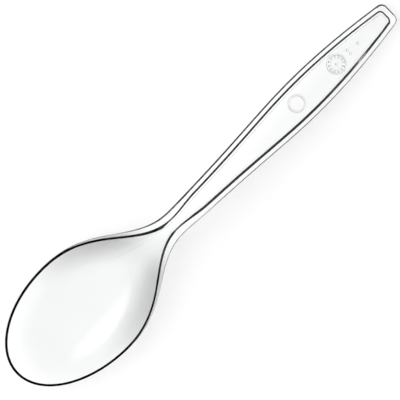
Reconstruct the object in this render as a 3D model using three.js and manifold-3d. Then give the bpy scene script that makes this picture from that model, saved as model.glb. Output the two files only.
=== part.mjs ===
// A clear disposable spoon, moulded in one piece. Millimetres, +Z up, bowl towards -X.
// It lies as it comes to rest on a table: on the bottom of its bowl and the lower edge of its handle's end.
// Every x in the formulas is measured from the tip of the bowl. The finished mesh is centred on the origin.
import * as THREE from 'three';
import Module from 'manifold-3d';
import { mergeVertices } from 'three/addons/utils/BufferGeometryUtils.js';

const wasm = await Module();
wasm.setup();

// The outline, seen from above
const length = 165;
const bowlHalfWidth = 18.8;
const widestAt = 30;
const bowlEndsAt = 50;
const neckHalfWidth = 4.22;
const neckAt = 69.5;
const rootHalfWidth = 4.66;
const rootAt = 80;
const rootSpread = 0.038;
const gripHalfWidth = 7.0;
const gripBeforeEnd = 38;
const gripAt = length - gripBeforeEnd;
const endHalfWidth = 3.83;
const endTaper = THREE.MathUtils.degToRad(8.2);
const cornerRadius = 2.2;

// How far each curve of the outline reaches, as shares of the way to the next place
const backReach = 0.514;
const shoulderReach = 0.367;
const neckReach = 0.267;
const rootReach = 0.543;
const gripReach = 0.296;

// The flat land along the top, from the outer edge to the edge of the bowl or channel
const lipLand = 0.88;
const neckLand = 3.2;
const rootLand = 2.5;
const gripLand = 2.4;
const endLand = 2.9;
const channelCorner = 1.0;
const endFan = 3;

// How far the land overhangs the lower wall, how high its edge is and how far that edge leans in
const lipOverhang = 0.76;
const landOverhang = 1.0;
const lipEdge = 0.6;
const ribEdge = 1.9;
const lipDraft = 0.1;
const ribDraft = 0.4;

// Heights above the table
const tipHeight = 7.2;
const rimRise = 0.00125;
const endHeight = 2.59;
const handleRise = 11.57;
const handleArch = 0.8;
const crestAt = 76;
const crestRounding = 3;

// The bowl
const bowlWall = 1.1;
const restAt = 27;
const restHalfLength = 5;
const restHalfWidth = 3.5;
const keelRise = 0.0088;
const sideRise = 0.018;
const bowlSlope = Math.tan(THREE.MathUtils.degToRad(54));
const bowlFillet = 5;

// The handle
const neckThickness = 2.8;
const handleThickness = 3.0;
const neckChannelDepth = 0.8;
const channelDepth = 1.7;
const channelSlope = Math.tan(THREE.MathUtils.degToRad(70));
const underSlope = Math.tan(THREE.MathUtils.degToRad(58));
const channelFillet = 0.3;
const neckRounding = 1.5;

// Raised mould marks under the floor of the handle's channel
const markHeight = 0.25;
const markSunk = 0.4;
const markStroke = 0.55;
const ringAt = gripAt - 4;
const ringRadius = 2.9;
const dialAt = gripAt + 13.8;
const dialRadius = 3.3;
const dialTicks = 12;
const tickLength = 0.9;
const pipRadius = 0.45;
const pipPlaces = [[dialAt + 5.5, 0.8], [dialAt + 5.5, -0.8], [dialAt + 9.5, 0]];

// How finely the surface is divided
const pointsPerSegment = [18, 22, 5, 14, 9, 5, 2];
const wallLevels = [0, 0.25, 0.5, 0.75, 1];
const floorLevels = [0.12, 0.3, 0.5, 0.68, 0.82, 1];
const wallReach = 0.67;
const smallestDetail = 0.003;

const kappa = 4 / 3 * (Math.SQRT2 - 1);
const ramp = value => Math.max(value, 0);
const blend = (low, high, value) => THREE.MathUtils.smoothstep(value, low, high);
const mix = (first, second, share) => first + (second - first) * share;

// The larger of two heights, rounded over where they meet
function smoothMax(a, b, rounding) {
  const overlap = ramp(rounding - Math.abs(a - b)) / rounding;
  return Math.max(a, b) + overlap * overlap * rounding / 4;
}

const smoothMin = (a, b, rounding) => -smoothMax(-a, -b, rounding);

// The top edge of the spoon: it climbs from the tip of the bowl to the crest, then falls along the handle
function rimHeight(x) {
  const share = (length - x) / (length - crestAt);
  const handle = endHeight + handleRise * share + 4 * handleArch * share * (1 - share);
  return smoothMin(tipHeight + rimRise * x * x, handle, crestRounding);
}

// The outside of the bowl's floor: flat where the spoon rests, then rising in parabolas
function bowlUnderside(x, y) {
  const along = ramp(Math.abs(x - restAt) - restHalfLength);
  const across = ramp(Math.abs(y) - restHalfWidth);
  return keelRise * along * along + sideRise * across * across;
}

// The bowl's floor as far as its widest place, and from there on whichever of bowl and handle lies lower
function undersideFloor(x, y) {
  const bowl = bowlUnderside(x, y);
  const thickness = mix(neckThickness, handleThickness, blend(neckAt, rootAt, x));
  return x < widestAt ? bowl : smoothMin(bowl, rimHeight(x) - thickness, neckRounding);
}

function insideFloor(x, y) {
  const bowl = bowlUnderside(x, y) + bowlWall;
  const depth = mix(neckChannelDepth, channelDepth, blend(neckAt, rootAt, x));
  return x < widestAt ? bowl : smoothMin(bowl, rimHeight(x) - depth, neckRounding);
}

// Half of an outline as Bezier segments from the tip to the middle of the end, moved in by each land's width
function halfOutline(lip, neck, root, grip, end, corner) {
  const frontHalf = widestAt - lip;
  const widest = bowlHalfWidth - lip;
  const centreX = length - end - corner;
  const sideY = x => endHalfWidth + Math.tan(endTaper) * (length - x) - grip / Math.cos(endTaper);
  const centreY = sideY(centreX) - corner / Math.cos(endTaper);
  const cornerX = centreX + corner * Math.sin(endTaper);
  const cornerY = centreY + corner * Math.cos(endTaper);
  const arcHandle = 4 / 3 * Math.tan((Math.PI / 2 - endTaper) / 4) * corner;
  const third = (cornerX - gripAt) / 3;
  const back = neckAt - widestAt;
  const bend = neckReach * (rootAt - neckAt);
  const side = gripAt - rootAt;
  const points = [
    [[lip, 0], [lip, widest * kappa], [widestAt - frontHalf * kappa, widest], [widestAt, widest]],
    [[widestAt, widest], [widestAt + backReach * back, widest],
      [neckAt - shoulderReach * back, neckHalfWidth - neck], [neckAt, neckHalfWidth - neck]],
    [[neckAt, neckHalfWidth - neck], [neckAt + bend, neckHalfWidth - neck],
      [rootAt - bend, rootHalfWidth - root - bend * rootSpread], [rootAt, rootHalfWidth - root]],
    [[rootAt, rootHalfWidth - root],
      [rootAt + rootReach * side, rootHalfWidth - root + rootReach * side * rootSpread],
      [gripAt - gripReach * side, gripHalfWidth - grip], [gripAt, gripHalfWidth - grip]],
    [[gripAt, gripHalfWidth - grip], [gripAt + third, gripHalfWidth - grip],
      [cornerX - third, cornerY + third * Math.tan(endTaper)], [cornerX, cornerY]],
    [[cornerX, cornerY],
      [cornerX + arcHandle * Math.cos(endTaper), cornerY - arcHandle * Math.sin(endTaper)],
      [length - end, centreY + arcHandle], [length - end, centreY]],
    [[length - end, centreY], [length - end, centreY * 2 / 3],
      [length - end, centreY / 3], [length - end, 0]],
  ];
  return points.map(list => new THREE.CubicBezierCurve(...list.map(([x, y]) => new THREE.Vector2(x, y))));
}

// Points of a half outline, each with the direction that leads straight in from it
function walk(segments) {
  const places = [];
  segments.forEach((segment, index) => {
    const count = pointsPerSegment[index];
    const last = index === segments.length - 1 ? count : count - 1;
    for (let step = 0; step <= last; step += 1) {
      const point = segment.getPoint(step / count);
      const along = segment.getTangent(step / count);
      places.push({ x: point.x, y: point.y, inX: along.y, inY: -along.x });
    }
  });
  return places;
}

const outerEdge = walk(halfOutline(0, 0, 0, 0, 0, cornerRadius));
const innerEdge = walk(halfOutline(lipLand, neckLand, rootLand, gripLand, endLand, channelCorner));

// Where a line that leads in from the outline ends on the middle of the spoon
function spineAt(x) {
  const ahead = x - widestAt;
  const share = ahead > 0 ? 1 : 1 - (bowlHalfWidth / widestAt) ** 2;
  return Math.min(widestAt + ahead * share, length - endLand - channelCorner - endFan);
}

// One line of points on a skin, down its wall and over its floor to the middle of the spoon
function skinLine(start, target, wallTop, slope, roomyFillet, floorAt) {
  const drop = wallTop - floorAt(start.x, start.y);
  const fillet = Math.min(roomyFillet, drop);
  const reach = Math.hypot(target - start.x, start.y);
  const band = Math.min((drop + 1.3 * fillet) / slope, wallReach * reach);
  const height = (x, y, run) => smoothMax(floorAt(x, y), wallTop - slope * run, fillet);
  const line = wallLevels.map(level => {
    const x = start.x + start.inX * band * level;
    const y = ramp(start.y + start.inY * band * level);
    return [x, y, height(x, y, band * level)];
  });
  const [footX, footY] = line.at(-1);
  floorLevels.forEach(level => {
    const x = mix(footX, target, level);
    const y = mix(footY, 0, level);
    line.push([x, y, height(x, y, band + Math.hypot(x - footX, y - footY))]);
  });
  return line;
}

// All points from the middle of the underside, round the edge, to the middle of the inside
function sectionLine(index) {
  const outer = outerEdge[index];
  const inner = innerEdge[index];
  const { inX, inY } = inner;
  const width = (inner.x - outer.x) * inX + (inner.y - outer.y) * inY;
  const handle = blend(bowlEndsAt, neckAt, outer.x);
  const onLand = gap => {
    const share = gap / width;
    return { x: mix(outer.x, inner.x, share), y: mix(outer.y, inner.y, share), inX, inY };
  };
  const rim = rimHeight(outer.x);
  const wallTop = rim - mix(lipEdge, ribEdge, handle);
  const edge = onLand(mix(lipDraft, ribDraft, handle));
  const wall = onLand(width - mix(lipOverhang, landOverhang, handle));
  const target = spineAt(outer.x);
  const fillet = mix(bowlFillet, channelFillet, handle);
  const slopes = [mix(bowlSlope, underSlope, handle), mix(bowlSlope, channelSlope, handle)];
  const below = skinLine(wall, target, wallTop, slopes[0], fillet, undersideFloor);
  const above = skinLine(inner, target, rim, slopes[1], fillet, insideFloor);
  return [...below.reverse(), [outer.x, outer.y, wallTop], [edge.x, edge.y, rim], ...above];
}

// The whole skin: the lines of one side, then their mirror image back to the tip
function spoonGeometry() {
  const half = outerEdge.map((_, index) => sectionLine(index));
  const mirrored = half.slice(1, -1).reverse().map(line => line.map(([x, y, z]) => [x, -y, z]));
  const lines = [...half, ...mirrored];
  const rows = lines[0].length;
  const positions = lines.flat().flatMap(([x, y, z]) => [x - length / 2, y, z]);
  const faces = [];
  for (let line = 0; line < lines.length; line += 1) {
    const next = (line + 1) % lines.length;
    for (let row = 0; row < rows - 1; row += 1) {
      const here = line * rows + row;
      const there = next * rows + row;
      faces.push(here, here + 1, there + 1, here, there + 1, there);
    }
  }
  const geometry = new THREE.BufferGeometry();
  geometry.setAttribute('position', new THREE.Float32BufferAttribute(positions, 3));
  geometry.setIndex(faces);
  return geometry;
}

function solidFrom(geometry) {
  geometry.deleteAttribute('normal');
  geometry.deleteAttribute('uv');
  const merged = mergeVertices(geometry, 1e-3);
  const faces = merged.getIndex().array;
  const kept = [];
  for (let start = 0; start < faces.length; start += 3) {
    const [a, b, c] = faces.slice(start, start + 3);
    if (a !== b && b !== c && c !== a) kept.push(a, b, c);
  }
  return new wasm.Manifold(new wasm.Mesh({
    numProp: 3,
    vertProperties: new Float32Array(merged.getAttribute('position').array),
    triVerts: new Uint32Array(kept),
  }));
}

function geometryFrom(solid) {
  const mesh = solid.getMesh();
  const geometry = new THREE.BufferGeometry();
  geometry.setAttribute('position', new THREE.BufferAttribute(mesh.vertProperties, mesh.numProp));
  geometry.setIndex(new THREE.BufferAttribute(mesh.triVerts, 1));
  geometry.computeVertexNormals();
  return geometry;
}

// Sets a mark, modelled with its base at z = 0 and its axis along Z, under the sloping floor of the channel
function seatMark(geometry, x, y) {
  const step = 0.5;
  const slope = (undersideFloor(x + step, 0) - undersideFloor(x - step, 0)) / (2 * step);
  geometry.rotateY(-Math.atan(slope));
  geometry.translate(x - length / 2, y, undersideFloor(x, 0));
  return solidFrom(geometry);
}

function ringMark(radius) {
  const outline = [
    [radius - markStroke, -markHeight], [radius, -markHeight], [radius, markSunk],
    [radius - markStroke, markSunk], [radius - markStroke, -markHeight],
  ];
  const ring = new THREE.LatheGeometry(outline.map(([r, z]) => new THREE.Vector2(r, z)), 32);
  return ring.rotateX(Math.PI / 2);
}

function tickMark(index) {
  const tick = new THREE.BoxGeometry(tickLength, markStroke / 2, markHeight + markSunk);
  tick.translate(dialRadius - markStroke - tickLength / 2, 0, (markSunk - markHeight) / 2);
  return tick.rotateZ(index / dialTicks * 2 * Math.PI);
}

function pipMark() {
  const pip = new THREE.CylinderGeometry(pipRadius, pipRadius, markHeight + markSunk, 12);
  return pip.rotateX(Math.PI / 2).translate(0, 0, (markSunk - markHeight) / 2);
}

function markSolids() {
  const marks = [seatMark(ringMark(ringRadius), ringAt, 0), seatMark(ringMark(dialRadius), dialAt, 0)];
  for (let index = 0; index < dialTicks; index += 1) {
    marks.push(seatMark(tickMark(index), dialAt, 0));
  }
  marks.push(seatMark(pipMark(), dialAt, 0));
  pipPlaces.forEach(([x, y]) => marks.push(seatMark(pipMark(), x, y)));
  return marks;
}

const moulding = markSolids().reduce((whole, mark) => whole.add(mark), solidFrom(spoonGeometry()));
const clearPlastic = new THREE.MeshStandardMaterial({
  color: 0xeef4f3, roughness: 0.05, metalness: 0, transparent: true, opacity: 0.3,
});
const spoon = new THREE.Mesh(geometryFrom(moulding.simplify(smallestDetail)), clearPlastic);
spoon.name = 'spoon';

const object = new THREE.Group();
object.add(spoon);

export default object;
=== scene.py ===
# %% [markdown]
# # A clear disposable spoon
# The real spoon is one shot of clear polystyrene: bowl, neck and channelled handle leave the mould together.
# So it is modelled as one closed skin, not as parts that are pushed into each other. We start by loading the
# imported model, whose box tells us the true length and width in metres.

# %% Load the frame
import math

import bpy
from mathutils import Matrix, Vector


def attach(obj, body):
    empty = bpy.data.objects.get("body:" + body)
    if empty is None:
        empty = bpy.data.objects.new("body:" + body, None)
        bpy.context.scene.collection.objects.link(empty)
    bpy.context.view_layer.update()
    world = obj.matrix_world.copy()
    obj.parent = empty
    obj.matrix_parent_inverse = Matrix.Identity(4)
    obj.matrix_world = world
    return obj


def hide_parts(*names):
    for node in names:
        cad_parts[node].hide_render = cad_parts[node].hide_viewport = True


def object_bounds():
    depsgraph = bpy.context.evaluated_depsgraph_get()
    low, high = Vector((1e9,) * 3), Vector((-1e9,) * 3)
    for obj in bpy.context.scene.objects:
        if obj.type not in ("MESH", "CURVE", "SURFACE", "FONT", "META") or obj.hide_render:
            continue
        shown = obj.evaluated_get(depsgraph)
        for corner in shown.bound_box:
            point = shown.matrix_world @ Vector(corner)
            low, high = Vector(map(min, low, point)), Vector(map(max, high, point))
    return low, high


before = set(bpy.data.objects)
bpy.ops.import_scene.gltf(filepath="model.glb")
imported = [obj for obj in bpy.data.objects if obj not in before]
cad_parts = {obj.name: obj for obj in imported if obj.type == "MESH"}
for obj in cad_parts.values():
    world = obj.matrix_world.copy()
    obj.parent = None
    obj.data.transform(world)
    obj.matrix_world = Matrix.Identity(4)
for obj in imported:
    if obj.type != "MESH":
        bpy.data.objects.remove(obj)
cad_low, cad_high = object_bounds()
LENGTH = cad_high[0] - cad_low[0]
BOWL_HALF_WIDTH = (cad_high[1] - cad_low[1]) / 2
print(f"the spoon is {LENGTH * 1000:.1f} mm long and {BOWL_HALF_WIDTH * 2000:.1f} mm wide")

# %% [markdown]
# ## Sizes
# Every place along the spoon is measured from the tip of its bowl, in metres. The outline is what a caliper
# reads from above, and the heights are what a height gauge reads over the table.

# %% The outline, seen from above
WIDEST_AT, BOWL_ENDS_AT = 0.030, 0.050
NECK_AT, NECK_HALF_WIDTH = 0.0695, 0.00422
ROOT_AT, ROOT_HALF_WIDTH, ROOT_SPREAD = 0.080, 0.00466, 0.038
GRIP_AT, GRIP_HALF_WIDTH = 0.127, 0.0070
END_HALF_WIDTH, END_TAPER = 0.00383, math.radians(8.2)
CORNER_RADIUS, CHANNEL_CORNER = 0.0022, 0.0010
BACK_REACH, SHOULDER_REACH, NECK_REACH = 0.0203, 0.0145, 0.0028
ROOT_REACH, GRIP_REACH = 0.0255, 0.0139
print(f"the neck is {NECK_HALF_WIDTH * 2000:.1f} mm wide and the grip {GRIP_HALF_WIDTH * 2000:.1f} mm")

# %% The flat land along the top edge
LIP = 0.00088
NECK_LAND, ROOT_LAND, GRIP_LAND, END_LAND = 0.0032, 0.0025, 0.0024, 0.0029
LIP_OVERHANG, LAND_OVERHANG = 0.00076, 0.0010
LIP_DRAFT, RIB_DRAFT = 0.0001, 0.0004
TOP_RADIUS, LIP_RADIUS, RIB_RADIUS = 0.00012, 0.0002, 0.0002

# %% Heights of the top edge
TIP_HEIGHT, RIM_RISE = 0.0072, 1.25
END_HEIGHT, HANDLE_RISE, HANDLE_ARCH = 0.00259, 0.01157, 0.0008
CREST_AT, CREST_ROUNDING = 0.076, 0.003
print(f"the tip's rim is {TIP_HEIGHT * 1000:.1f} mm up, the handle's end {END_HEIGHT * 1000:.1f} mm")

# %% Walls and floors
LIP_EDGE, RIB_EDGE = 0.0006, 0.0019
BOWL_WALL = 0.0011
BOWL_SLOPE, BOWL_FILLET = math.tan(math.radians(54)), 0.005
REST_AT, REST_HALF_LENGTH, REST_HALF_WIDTH = 0.027, 0.005, 0.0035
KEEL_RISE, SIDE_RISE = 8.8, 18.0
NECK_THICKNESS, HANDLE_THICKNESS = 0.0028, 0.0030
NECK_CHANNEL_DEPTH, CHANNEL_DEPTH = 0.0008, 0.0017
CHANNEL_SLOPE, UNDER_SLOPE = math.tan(math.radians(70)), math.tan(math.radians(58))
CHANNEL_FILLET, NECK_ROUNDING = 0.0003, 0.0015

# %% Mould marks, raised on the underside of the channel's floor
MARK_HEIGHT, MARK_STROKE = 0.00025, 0.00055
RING_AT, RING_RADIUS = 0.123, 0.0029
DIAL_AT, DIAL_RADIUS, DIAL_TICKS, TICK_LENGTH = 0.1408, 0.0033, 12, 0.0009
PIP_RADIUS, PIP_PLACES = 0.00045, [(0.1408, 0), (0.1463, 0.0008), (0.1463, -0.0008), (0.1503, 0)]

# %% [markdown]
# ## Sums on sockets
# Geometry and shader trees both do their sums with Math nodes. Wiring those by hand hides the formula, so a
# small class wraps a socket: `a * 2 - b` on wrapped sockets adds the Math nodes for us.

# %% A socket that can be added, multiplied and compared
class Term:
    def __init__(self, tree, socket):
        self.tree, self.socket = tree, socket

    def sum(self, operation, *values):
        return make(self.tree, "ShaderNodeMath", {"operation": operation}, dict(enumerate(values)))[0]

    def __add__(self, other):
        return self.sum("ADD", self, other)

    def __radd__(self, other):
        return self.sum("ADD", other, self)

    def __sub__(self, other):
        return self.sum("SUBTRACT", self, other)

    def __rsub__(self, other):
        return self.sum("SUBTRACT", other, self)

    def __mul__(self, other):
        return self.sum("MULTIPLY", self, other)

    def __rmul__(self, other):
        return self.sum("MULTIPLY", other, self)

    def __truediv__(self, other):
        return self.sum("DIVIDE", self, other)

    def __rtruediv__(self, other):
        return self.sum("DIVIDE", other, self)

    def __gt__(self, other):
        return self.sum("GREATER_THAN", self, other)

    def __lt__(self, other):
        return self.sum("LESS_THAN", self, other)

    def __abs__(self):
        return self.sum("ABSOLUTE", self)

    def root(self):
        return self.sum("SQRT", self)

    def at_least(self, other):
        return self.sum("MAXIMUM", self, other)

    def at_most(self, other):
        return self.sum("MINIMUM", self, other)


def make(tree, kind, settings=None, values=None):
    """Adds a node, sets its own settings first, then the values or links of its inputs."""
    node = tree.nodes.new(kind)
    for name, setting in (settings or {}).items():
        setattr(node, name, setting)
    for key, value in (values or {}).items():
        links = value if isinstance(value, list) else [value]
        for link in links:
            if isinstance(link, Term):
                tree.links.new(link.socket, node.inputs[key])
            else:
                node.inputs[key].default_value = link
    return [Term(tree, socket) for socket in node.outputs if socket.enabled]


# %% Formulas that read the same on numbers and on sockets
def mix(first, second, share):
    return first + (second - first) * share


def ease(low, high, value):
    """0 below low, 1 above high and a smooth step in between."""
    share = ((value - low) / (high - low)).at_least(0).at_most(1)
    return share * share * (3 - 2 * share)


def smooth_max(a, b, rounding):
    overlap = (1 - abs(a - b) / rounding).at_least(0)
    return a.at_least(b) + overlap * overlap * rounding / 4


def smooth_min(a, b, rounding):
    overlap = (1 - abs(a - b) / rounding).at_least(0)
    return a.at_most(b) - overlap * overlap * rounding / 4


def distance(x, y):
    return (x * x + y * y).root()


def quarter_round(gap, radius):
    """How far a rounded edge stays back, at a gap from the edge that it rounds."""
    left = radius - gap.at_most(radius)
    return radius - (radius * radius - left * left).at_least(0).root()


# %% [markdown]
# ## The two edges of the land
# Seen from above, the outline is a quarter ellipse round the front of the bowl, then long smooth curves
# through neck and grip, and a rounded corner. Bezier splines say exactly that with few points. A second
# spline with as many points is the inner edge of the flat land that runs round bowl and channel. A polygon
# drawn by hand would do too, but it would need many more points and would show its corners in clear plastic.

# %% Half an outline as one Bezier spline
POINTS_PER_SEGMENT = 54
KAPPA = 4 / 3 * (math.sqrt(2) - 1)


def half_outline(lip, neck, root, grip, end, corner):
    """Each point with its two handles, from the tip to the middle of the handle's end."""
    front, widest = WIDEST_AT - lip, BOWL_HALF_WIDTH - lip
    rise, run = math.tan(END_TAPER), 1 / math.cos(END_TAPER)
    centre_x = LENGTH - end - corner
    centre_y = END_HALF_WIDTH + rise * (LENGTH - centre_x) - grip * run - corner * run
    corner_x = centre_x + corner * math.sin(END_TAPER)
    corner_y = centre_y + corner * math.cos(END_TAPER)
    arc = 4 / 3 * math.tan((math.pi / 2 - END_TAPER) / 4) * corner
    third = (corner_x - GRIP_AT) / 3
    return [
        ((lip, 0), (0, -widest * KAPPA), (0, widest * KAPPA)),
        ((WIDEST_AT, widest), (-front * KAPPA, 0), (BACK_REACH, 0)),
        ((NECK_AT, NECK_HALF_WIDTH - neck), (-SHOULDER_REACH, 0), (NECK_REACH, 0)),
        ((ROOT_AT, ROOT_HALF_WIDTH - root), (-NECK_REACH, -NECK_REACH * ROOT_SPREAD),
         (ROOT_REACH, ROOT_REACH * ROOT_SPREAD)),
        ((GRIP_AT, GRIP_HALF_WIDTH - grip), (-GRIP_REACH, 0), (third, 0)),
        ((corner_x, corner_y), (-third, third * rise), (arc / run, -arc * math.sin(END_TAPER))),
        ((LENGTH - end, centre_y), (0, arc), (0, -centre_y / 3)),
        ((LENGTH - end, 0), (0, centre_y / 3), (0, -centre_y / 3)),
    ]


def add_spline(curve, places):
    spline = curve.splines.new("BEZIER")
    spline.bezier_points.add(len(places) - 1)
    spline.resolution_u = POINTS_PER_SEGMENT
    for point, ((x, y), back, forth) in zip(spline.bezier_points, places):
        point.co = (x, y, 0)
        point.handle_left_type = point.handle_right_type = "FREE"
        point.handle_left = (x + back[0], y + back[1], 0)
        point.handle_right = (x + forth[0], y + forth[1], 0)


edges = bpy.data.curves.new("land edges", "CURVE")
edges.dimensions = "3D"
add_spline(edges, half_outline(0, 0, 0, 0, 0, CORNER_RADIUS))
add_spline(edges, half_outline(LIP, NECK_LAND, ROOT_LAND, GRIP_LAND, END_LAND, CHANNEL_CORNER))
LINES = (len(edges.splines[0].bezier_points) - 1) * POINTS_PER_SEGMENT + 1
print(f"the land's edges have {LINES} points each")

# %% [markdown]
# ## The skin
# A grid becomes the skin of one half. Its lines lead from the outline in to the middle. Its rows run along
# the spoon: from the middle of the underside up the outer wall, round the edge, over the land, down the
# inner wall and across the floor. Underside and inside follow one rule: there is a floor and a sloping wall,
# the higher of them counts, and they are rounded over where they meet. A subdivision surface could look
# alike, but a rule keeps every wall at its true draft, and clear plastic shows a wall's slope as a line.

# %% How the rows are shared out
FLOOR_ROWS, WALL_ROWS, RIB_ROWS, FLANK_ROWS, LAND_ROWS = 20, 14, 10, 3, 12
WALL_END = FLOOR_ROWS + WALL_ROWS
RIB_END = WALL_END + RIB_ROWS
FLANK_END = RIB_END + FLANK_ROWS
LAND_END = FLANK_END + LAND_ROWS
INNER_WALL_END = LAND_END + WALL_ROWS
ROWS = INNER_WALL_END + FLOOR_ROWS + 1
print(f"each half of the skin has {LINES} lines and {ROWS} rows")


# %% Heights as formulas on sockets
def rim_height(x):
    share = (LENGTH - x) / (LENGTH - CREST_AT)
    handle = END_HEIGHT + HANDLE_RISE * share + 4 * HANDLE_ARCH * share * (1 - share)
    return smooth_min(TIP_HEIGHT + RIM_RISE * x * x, handle, CREST_ROUNDING)


def floor_heights(x, y):
    """The underside's floor and the inside's floor at a place, both without their walls."""
    along = (abs(x - REST_AT) - REST_HALF_LENGTH).at_least(0)
    across = (abs(y) - REST_HALF_WIDTH).at_least(0)
    bowl = KEEL_RISE * along * along + SIDE_RISE * across * across
    rim, in_handle, past_neck = rim_height(x), x > WIDEST_AT, ease(NECK_AT, ROOT_AT, x)
    web_bottom = rim - mix(NECK_THICKNESS, HANDLE_THICKNESS, past_neck)
    web_top = rim - mix(NECK_CHANNEL_DEPTH, CHANNEL_DEPTH, past_neck)
    below = mix(bowl, smooth_min(bowl, web_bottom, NECK_ROUNDING), in_handle)
    inside = mix(bowl + BOWL_WALL, smooth_min(bowl + BOWL_WALL, web_top, NECK_ROUNDING), in_handle)
    return below, inside


# %% Trees and their inputs
SHARPEST_BEND = math.radians(20)


def group_tree(name, inputs):
    """A tree with named inputs and one geometry output, and the wrapped sockets of its inputs."""
    tree = bpy.data.node_groups.new(name, "GeometryNodeTree")
    for label, kind in inputs.items():
        tree.interface.new_socket(label, in_out="INPUT", socket_type="NodeSocket" + kind)
    tree.interface.new_socket("Spoon", in_out="OUTPUT", socket_type="NodeSocketGeometry")
    return tree, make(tree, "NodeGroupInput")[:len(inputs)]


def share_of(row, start, count):
    """Runs from 0 to 1 over some of the rows."""
    return ((row - start) / count).at_least(0).at_most(1)


# %% The places of the land's two edges on a line, and the way straight in from the inner one
def land_places(tree, edge_curve, line):
    edge_points = make(tree, "GeometryNodeCurveToMesh", None, {"Curve": edge_curve})[0]
    place = make(tree, "GeometryNodeInputPosition")[0]

    def edge_point(index):
        settings = {"data_type": "FLOAT_VECTOR", "domain": "POINT"}
        inputs = {"Geometry": edge_points, "Value": place, "Index": index}
        found = make(tree, "GeometryNodeSampleIndex", settings, inputs)[0]
        return make(tree, "ShaderNodeSeparateXYZ", None, {0: found})[:2]

    last_x, last_y = edge_point((line - 1).at_least(0) + LINES)
    next_x, next_y = edge_point((line + 1).at_most(LINES - 1) + LINES)
    step = distance(next_x - last_x, next_y - last_y)
    straight_in = (next_y - last_y) / step, (last_x - next_x) / step
    return edge_point(line), edge_point(line + LINES), straight_in


# %% The mirrored second half and the seam along the middle
WELD = 1e-6


def both_halves(tree, grid, spot):
    half = make(tree, "GeometryNodeSetPosition", None, {"Geometry": grid, "Position": spot})[0]
    other = make(tree, "GeometryNodeTransform", None, {"Geometry": half, "Scale": (1, -1, 1)})[0]
    half = make(tree, "GeometryNodeFlipFaces", None, {"Mesh": half})[0]
    both = make(tree, "GeometryNodeJoinGeometry", None, {0: [half, other]})[0]
    return make(tree, "GeometryNodeMergeByDistance", None, {"Geometry": both, "Distance": WELD})[0]


# %% Smooth faces with sharp creases, real geometry and one material
def finish_tree(tree, geometry, material):
    crease = make(tree, "GeometryNodeInputMeshEdgeAngle")[0] > SHARPEST_BEND
    real = make(tree, "GeometryNodeRealizeInstances", None, {"Geometry": geometry})[0]
    for domain, smooth in ("FACE", True), ("EDGE", 1 - crease):
        values = {"Geometry": real, "Shade Smooth": smooth}
        real = make(tree, "GeometryNodeSetShadeSmooth", {"domain": domain}, values)[0]
    done = make(tree, "GeometryNodeSetMaterial", None, {"Geometry": real, "Material": material})[0]
    make(tree, "NodeGroupOutput", None, {0: done})


# %% The tree that lays the grid over the spoon
WALL_SHARE, FILLET_ROOM = 0.67, 1.3
STOP_BEFORE_CORNER = 0.003


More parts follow.
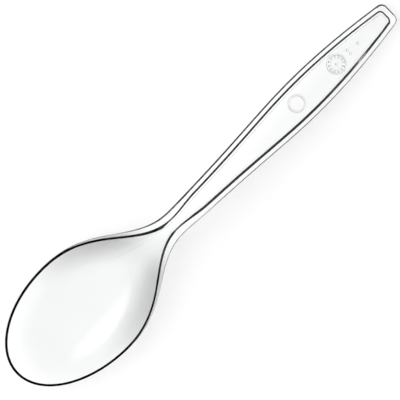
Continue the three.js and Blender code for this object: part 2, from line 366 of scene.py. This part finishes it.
def skin_tree(material):
    tree, (edge_curve, top_radius, rib_radius, bowl_fillet, channel_fillet) = group_tree("spoon skin", {
        "Land edges": "Geometry", "Top radius": "Float", "Rib radius": "Float",
        "Bowl fillet": "Float", "Channel fillet": "Float",
    })

    # The grid: one line for each point of the outline, one row for each step across the section
    size = {"Size X": LINES - 1, "Size Y": ROWS - 1, "Vertices X": LINES, "Vertices Y": ROWS}
    grid = make(tree, "GeometryNodeMeshGrid", None, size)[0]
    here = make(tree, "ShaderNodeSeparateXYZ", None, {0: make(tree, "GeometryNodeInputPosition")[0]})
    line = here[0] + (LINES - 1) / 2
    row = here[1] + (ROWS - 1) / 2

    (outer_x, outer_y), (inner_x, inner_y), (in_x, in_y) = land_places(tree, edge_curve, line)
    inside = row > FLANK_END + 0.5

    # How far each row lies from the outline: under the rib, up the flank, over the land, then the wall
    width = (inner_x - outer_x) * in_x + (inner_y - outer_y) * in_y
    handle = ease(BOWL_ENDS_AT, NECK_AT, outer_x)
    rib_width = width - mix(LIP_OVERHANG, LAND_OVERHANG, handle)
    draft = mix(LIP_DRAFT, RIB_DRAFT, handle)
    to_outline = 1 - share_of(row, WALL_END, RIB_ROWS)
    up_flank, over_land = share_of(row, RIB_END, FLANK_ROWS), ease(FLANK_END, LAND_END, row)
    rib_gap = rib_width * to_outline * to_outline
    gap = rib_gap + mix(draft * up_flank, width, over_land)
    start_x, start_y = mix(outer_x, inner_x, gap / width), mix(outer_y, inner_y, gap / width)

    # The size of this line's walls: gentle and high in the bowl, steep and low in the handle
    slope = mix(BOWL_SLOPE, mix(UNDER_SLOPE, CHANNEL_SLOPE, inside), handle)
    bottom_radius = mix(LIP_RADIUS, rib_radius, handle)
    rim = rim_height(outer_x)
    wall_top = mix(rim - mix(LIP_EDGE, RIB_EDGE, handle), rim - top_radius, inside)
    foot_below, foot_inside = floor_heights(start_x, start_y)
    drop = wall_top - mix(foot_below, foot_inside, inside)
    fillet = mix(bowl_fillet, channel_fillet, handle).at_most(drop)

    # Where the line ends on the spoon's middle; the wall takes at most its share of the way there
    front_share = 1 - (BOWL_HALF_WIDTH / WIDEST_AT) ** 2
    ahead = outer_x - WIDEST_AT
    last = LENGTH - END_LAND - CHANNEL_CORNER - STOP_BEFORE_CORNER
    spine = (WIDEST_AT + ahead * mix(front_share, 1, ahead > 0)).at_most(last)
    reach = distance(spine - start_x, start_y)
    band = ((drop + FILLET_ROOM * fillet) / slope).at_most(WALL_SHARE * reach)
    inset = band * (1 - share_of(row, FLOOR_ROWS, WALL_ROWS) + share_of(row, LAND_END, WALL_ROWS))
    wall_x, wall_y = start_x + in_x * inset, start_y + in_y * inset
    across = 1 - share_of(row, 0, FLOOR_ROWS) + share_of(row, INNER_WALL_END, FLOOR_ROWS)
    x, y = mix(wall_x, spine, across), wall_y * (1 - across)
    y = y * (line > 0.5) * (line < LINES - 1.5)

    # The height there
    run = inset + distance(x - wall_x, y - wall_y)
    below, inner = floor_heights(x, y)
    under_run = run + gap - rib_width
    under_wall = smooth_min(wall_top, wall_top - slope * under_run, top_radius)
    under_skin = smooth_max(below, under_wall, fillet) + quarter_round(rib_gap, bottom_radius)
    inner_skin = smooth_max(inner, wall_top - slope * run, fillet)
    land_top = rim - quarter_round((gap - draft).at_most(width - gap), top_radius)
    flank_height = mix(under_skin, rim - top_radius, up_flank)
    z = mix(flank_height, land_top, row > FLANK_END - 0.5)
    z = mix(z, inner_skin, row > LAND_END + 0.5)

    spot = make(tree, "ShaderNodeCombineXYZ", None, {0: x - LENGTH / 2, 1: y, 2: z})[0]
    finish_tree(tree, both_halves(tree, grid, spot), material)
    return tree


# %% [markdown]
# ## Mould marks
# A moulded spoon often carries small raised marks from its mould. Here they are a plain ring, a dial with
# twelve ticks and a few pips. Each starts as a full bead, is flattened and set into the underside of the
# channel's floor. There it is united with the skin, so that light passes on as in a single piece of plastic.
# A bump in the material would be quicker, but the mesh is used on its own too, and a bump has no edge.

# %% The tree that adds the marks
RING_STEPS, PROFILE_STEPS, BALL_STEPS, BALL_RINGS = 96, 16, 24, 16


def marks_tree(material):
    tree, (skin, height, stroke, tick_length, pip_radius) = group_tree("mould marks", {
        "Skin": "Geometry", "Height": "Float", "Stroke": "Float",
        "Tick length": "Float", "Pip radius": "Float",
    })

    def vector(x, y, z):
        return make(tree, "ShaderNodeCombineXYZ", None, {0: x, 1: y, 2: z})[0]

    def placed(bead, radius, x, y=0):
        """Flattens a bead of some radius to the height of the marks and brings it to its place."""
        place, size = (x - LENGTH / 2, y, 0), vector(1, 1, height / radius)
        values = {"Geometry": bead, "Translation": place, "Scale": size}
        return make(tree, "GeometryNodeTransform", None, values)[0]

    # A ring is a small circle led round a large one
    values = {"Resolution": PROFILE_STEPS, "Radius": stroke / 2}
    profile = make(tree, "GeometryNodeCurvePrimitiveCircle", None, values)[0]

    def ring(x, radius):
        values = {"Resolution": RING_STEPS, "Radius": radius - stroke / 2}
        circle = make(tree, "GeometryNodeCurvePrimitiveCircle", None, values)[0]
        bead = make(tree, "GeometryNodeCurveToMesh", None, {"Curve": circle, "Profile Curve": profile})[0]
        return placed(bead, stroke / 2, x)

    # Ticks are stretched beads on a smaller circle, each turned to point outwards
    values = {"Vertices": DIAL_TICKS, "Radius": DIAL_RADIUS - stroke - tick_length / 2}
    spots = make(tree, "GeometryNodeMeshCircle", None, values)[0]
    outward = make(tree, "GeometryNodeInputPosition")[0]
    turn = make(tree, "FunctionNodeAlignRotationToVector", {"axis": "X"}, {"Vector": outward})[0]
    values = {"Segments": BALL_STEPS, "Rings": BALL_RINGS, "Radius": pip_radius}
    ball = make(tree, "GeometryNodeMeshUVSphere", None, values)[0]
    size = vector(tick_length / 2 / pip_radius, stroke / 2 / pip_radius, stroke / 2 / pip_radius)
    values = {"Points": spots, "Instance": ball, "Rotation": turn, "Scale": size}
    ticks = make(tree, "GeometryNodeInstanceOnPoints", None, values)[0]
    ticks = make(tree, "GeometryNodeRealizeInstances", None, {"Geometry": ticks})[0]

    # Everything follows the slope of the underside
    parts = [ring(RING_AT, RING_RADIUS), ring(DIAL_AT, DIAL_RADIUS), placed(ticks, stroke / 2, DIAL_AT)]
    parts += [placed(ball, pip_radius, x, y) for x, y in PIP_PLACES]
    here = make(tree, "ShaderNodeSeparateXYZ", None, {0: make(tree, "GeometryNodeInputPosition")[0]})[0]
    lift = vector(0, 0, floor_heights(here + LENGTH / 2, here * 0)[0])
    seated = []
    for part in parts:
        values = {"Geometry": part, "Offset": lift}
        seated.append(make(tree, "GeometryNodeSetPosition", None, values)[0])
    settings = {"operation": "UNION", "solver": "MANIFOLD"}
    whole = make(tree, "GeometryNodeMeshBoolean", settings, {"Mesh 2": [skin, *seated]})[0]
    finish_tree(tree, whole, material)
    return tree


# %% [markdown]
# ## Clear polystyrene
# Clear means that light goes through it, bent by the plastic's index of 1.59. Where light meets a far wall
# too flatly it cannot leave and turns back: that draws the dark lines round the bowl and along the handle.
# Moulded plastic is never quite even. It flowed along the spoon, so its skin has long faint waves, and the
# polish of the mould varies a little from place to place. Two noises on the object's own coordinates do
# both, and they leave the mesh as it is.

# %% The plastic
TINT, BENDING = (0.985, 0.992, 0.990, 1), 1.59
FLOW_STRETCH, FLOW_WAVES, FLOW_DEPTH = (0.16, 1, 1), 420, 0.00003
POLISH_PATCHES, POLISH = 90, (0.012, 0.03)


def object_place(tree):
    texture_place = tree.nodes.new("ShaderNodeTexCoord")
    return Term(tree, texture_place.outputs["Object"])


def clear_plastic():
    material = bpy.data.materials.new("clear polystyrene")
    material.use_nodes = True
    tree = material.node_tree
    shader = tree.nodes["Principled BSDF"]
    place = object_place(tree)
    along = make(tree, "ShaderNodeMapping", None, {"Vector": place, "Scale": FLOW_STRETCH})[0]
    flow = make(tree, "ShaderNodeTexNoise", None, {"Vector": along, "Scale": FLOW_WAVES, "Detail": 2})[0]
    values = {"Vector": place, "Scale": POLISH_PATCHES, "Detail": 3}
    patches = make(tree, "ShaderNodeTexNoise", None, values)[0]
    waves = make(tree, "ShaderNodeBump", None, {"Height": flow, "Distance": FLOW_DEPTH})[0]
    tree.links.new(mix(*POLISH, patches).socket, shader.inputs["Roughness"])
    tree.links.new(waves.socket, shader.inputs["Normal"])
    shader.inputs["Base Color"].default_value = TINT
    shader.inputs["IOR"].default_value = BENDING
    shader.inputs["Transmission Weight"].default_value = 1
    return material


plastic = clear_plastic()
print(f"{plastic.name} has {len(plastic.node_tree.nodes)} nodes")

# %% [markdown]
# ## From trees to one plain mesh
# The trees run as modifiers, first the skin on the curve and then the marks on that skin. An evaluated
# object can be copied into a plain mesh, which keeps the shape when the trees are gone. The finished piece
# rides on the spoon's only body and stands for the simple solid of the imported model.

# %% Turn a tree and its data into a plain mesh
def grow(name, data, tree, values):
    maker = bpy.data.objects.new(name + " maker", data)
    bpy.context.scene.collection.objects.link(maker)
    modifier = maker.modifiers.new("grow", "NODES")
    modifier.node_group = tree
    keys = {item.name: item.identifier for item in tree.interface.items_tree if item.item_type == "SOCKET"}
    for label, value in values.items():
        modifier[keys[label]] = value
    graph = bpy.context.evaluated_depsgraph_get()
    mesh = bpy.data.meshes.new_from_object(maker.evaluated_get(graph))
    maker.modifiers.clear()
    bpy.data.objects.remove(maker)
    piece = bpy.data.objects.new(name, mesh)
    bpy.context.scene.collection.objects.link(piece)
    return piece


bare = grow("bare spoon", edges, skin_tree(plastic), {
    "Top radius": TOP_RADIUS, "Rib radius": RIB_RADIUS,
    "Bowl fillet": BOWL_FILLET, "Channel fillet": CHANNEL_FILLET,
})
spoon = grow("clear_spoon", bare.data, marks_tree(plastic), {
    "Height": MARK_HEIGHT, "Stroke": MARK_STROKE, "Tick length": TICK_LENGTH, "Pip radius": PIP_RADIUS,
})
bpy.data.objects.remove(bare)
print(f"the spoon has {len(spoon.data.polygons)} faces")

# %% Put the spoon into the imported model
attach(spoon, "root")
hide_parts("spoon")

# %% [markdown]
# ## The table and the light
# Everything seen through clear plastic is the room around it. Here that is a white table and a studio that
# is white where the plastic is seen through. Both are dark to light that turned back inside the plastic, as
# if black cards stood round the spoon. The lamp is hidden from the plastic, so that it makes no bright gaps
# in the dark lines. A clear bowl shows some soft grey at its back, where its walls are steep. The lights
# here don't give it, so a formula paints it on the table, for rays that passed the plastic only.

# %% A white table
TABLE_HALF, TABLE_HEIGHT = 0.6, -0.0002
WHITE, PAPER, DARK = (1, 1, 1, 1), (0.96, 0.96, 0.96, 1), 0.05
SELF_LIT_SHARE, GLOW_THROUGH_PLASTIC = 0.7, 1.28


def seen_by(tree):
    """1 for rays straight from the camera, from the plastic, turned back in it, or from the table."""
    path = tree.nodes.new("ShaderNodeLightPath")
    camera, glossy, through, turns, bounces = (Term(tree, path.outputs[name]) for name in (
        "Is Camera Ray", "Is Glossy Ray", "Is Transmission Ray", "Glossy Depth", "Diffuse Depth"))
    return camera, (glossy + through).at_most(1), turns.at_most(1), bounces.at_most(1)


SHADE_RADII, SHADE_RING = (0.0235, 0.0145), (0.55, 1.2)
SHADE_COMES, SHADE_GOES = (0.020, 0.048), (0.052, 0.066)
SHADE_IN_MIDDLE, SHADE_SIDES = 0.35, (0.001, 0.010)
SHADE_STRENGTHS, SHADE_TURNS = (0.48, 0.56), (-0.006, 0.006)


def shade_under_bowl(tree):
    """The painted grey: a ring under the back of the bowl, stronger at its sides."""
    place = make(tree, "ShaderNodeSeparateXYZ", None, {0: object_place(tree)})
    x, y = place[0] + LENGTH / 2, place[1]
    ring = ease(*SHADE_RING, distance((x - WIDEST_AT) / SHADE_RADII[0], y / SHADE_RADII[1]))
    sides = mix(SHADE_IN_MIDDLE, 1.0, ease(*SHADE_SIDES, abs(y)))
    strength = mix(*SHADE_STRENGTHS, ease(*SHADE_TURNS, y))
    return ring * sides * strength * ease(*SHADE_COMES, x) * (1 - ease(*SHADE_GOES, x))


def white_table():
    table = bpy.data.meshes.new("table")
    signs = [(-1, -1), (1, -1), (1, 1), (-1, 1)]
    corners = [(x * TABLE_HALF, y * TABLE_HALF, TABLE_HEIGHT) for x, y in signs]
    table.from_pydata(corners, [], [(0, 1, 2, 3)])
    plane = bpy.data.objects.new("table", table)
    bpy.context.scene.collection.objects.link(plane)
    material = bpy.data.materials.new("white table")
    material.use_nodes = True
    tree = material.node_tree
    tree.nodes.clear()
    camera, plastic_ray, turned, _ = seen_by(tree)
    paper = make(tree, "ShaderNodeBsdfDiffuse", None, {"Color": PAPER})[0]
    through_plastic = GLOW_THROUGH_PLASTIC * (1 - shade_under_bowl(tree))
    strength = mix(mix(1.0, through_plastic, plastic_ray), DARK, turned)
    glow = make(tree, "ShaderNodeEmission", None, {"Color": WHITE, "Strength": strength})[0]
    share = camera * SELF_LIT_SHARE + plastic_ray * mix(SELF_LIT_SHARE, 1.0, turned)
    surface = make(tree, "ShaderNodeMixShader", None, {0: share, 1: paper, 2: glow})[0]
    make(tree, "ShaderNodeOutputMaterial", None, {"Surface": surface})
    plane.data.materials.append(material)
    return plane


table = white_table()
print(f"the table is {table.dimensions.x:.1f} m wide")

# %% A soft lamp that only the table sees
LAMP_PLACE, LAMP_SIZE, LAMP_WATTS = Vector((-0.5, 0.45, 0.8)), (0.8, 0.6), 1.5


def soft_box():
    light = bpy.data.lights.new("overhead softbox", "AREA")
    light.shape = "RECTANGLE"
    light.size, light.size_y = LAMP_SIZE
    light.energy = LAMP_WATTS
    lamp = bpy.data.objects.new("overhead softbox", light)
    lamp.location = LAMP_PLACE
    lamp.rotation_euler = LAMP_PLACE.to_track_quat("Z", "Y").to_euler()
    lamp.visible_glossy = lamp.visible_transmission = False
    bpy.context.scene.collection.objects.link(lamp)
    print(f"the lamp hangs {LAMP_PLACE.z:.1f} m over the table")


soft_box()

# %% The studio around the table
ROOM_LIGHT, REFLECTED_GLOW, WINDOW_LIGHT = 0.45, 1.2, 4.0
GLOW_FROM, GLOW_EDGE = Vector((-0.25, 0.55, 0.9)).normalized(), 0.84
WINDOW_FROM, WINDOW_EDGE = LAMP_PLACE.normalized(), 0.8


def studio():
    """White through the plastic, dark with one glow where it mirrors, and a window for the table."""
    world = bpy.data.worlds.new("studio")
    bpy.context.scene.world = world
    world.use_nodes = True
    tree = world.node_tree
    tree.nodes.clear()
    _, _, turned, from_table = seen_by(tree)
    look = make(tree, "ShaderNodeTexCoord")[0]

    def lobe(towards, edge):
        facing = make(tree, "ShaderNodeVectorMath", {"operation": "DOT_PRODUCT"}, {0: look, 1: towards})[0]
        return ease(edge, 1.0, facing)

    seen = mix(1.0, mix(DARK, REFLECTED_GLOW, lobe(GLOW_FROM, GLOW_EDGE)), turned)
    light = ROOM_LIGHT + WINDOW_LIGHT * lobe(WINDOW_FROM, WINDOW_EDGE)
    values = {"Color": WHITE, "Strength": mix(seen, light, from_table)}
    back = make(tree, "ShaderNodeBackground", None, values)[0]
    make(tree, "ShaderNodeOutputWorld", None, {"Surface": back})


studio()
print(f"the studio is {bpy.context.scene.world.name}")

# %% [markdown]
# ## The camera
# It looks down on the table, tilted a few degrees towards the spoon's side. Two places on the spoon, the tip
# of the bowl and the end of the handle, settle its turn, its lens and where it aims.

# %% Place the camera
FRAME_PIXELS = 400
TIP_PIXEL, END_PIXEL = Vector((16.2, 372.9)), Vector((391.4, 11.1))
CAMERA_TILT, CAMERA_DISTANCE = math.radians(5.7), 1.5
SENSOR = 36
NEAREST, FARTHEST = 0.05, 50


def add_camera():
    """Places the camera so that the tip of the bowl and the handle's end fall on their pixels."""
    span = END_PIXEL - TIP_PIXEL
    angle = math.atan2(-span.y, span.x)
    towards = Vector((0, math.sin(CAMERA_TILT), math.cos(CAMERA_TILT)))
    along = Vector((1, 0, 0))
    across = towards.cross(along)
    right = math.cos(angle) * along - math.sin(angle) * across
    up = math.sin(angle) * along + math.cos(angle) * across
    metres = LENGTH / span.length
    centre = (TIP_PIXEL + END_PIXEL) / 2 - Vector((FRAME_PIXELS / 2, FRAME_PIXELS / 2))
    aim = Vector((0, 0, TIP_HEIGHT / 2)) - right * centre.x * metres + up * centre.y * metres
    data = bpy.data.cameras.new("camera")
    data.sensor_width = data.sensor_height = SENSOR
    data.lens = SENSOR * CAMERA_DISTANCE / (FRAME_PIXELS * metres)
    data.clip_start, data.clip_end = NEAREST, FARTHEST
    camera = bpy.data.objects.new("camera", data)
    turn = Matrix((right, up, towards)).transposed().to_4x4()
    camera.matrix_world = Matrix.Translation(aim + towards * CAMERA_DISTANCE) @ turn
    bpy.context.scene.collection.objects.link(camera)
    bpy.context.scene.camera = camera


add_camera()
print(f"the camera's lens is {bpy.context.scene.camera.data.lens:.0f} mm")

# %% Colour and light paths
PLASTIC_BOUNCES, MIRROR_BOUNCES = 24, 12
scene = bpy.context.scene
scene.view_settings.view_transform = "Standard"
scene.cycles.use_denoising = True
scene.cycles.max_bounces = PLASTIC_BOUNCES
scene.cycles.transmission_bounces = PLASTIC_BOUNCES
scene.cycles.glossy_bounces = MIRROR_BOUNCES
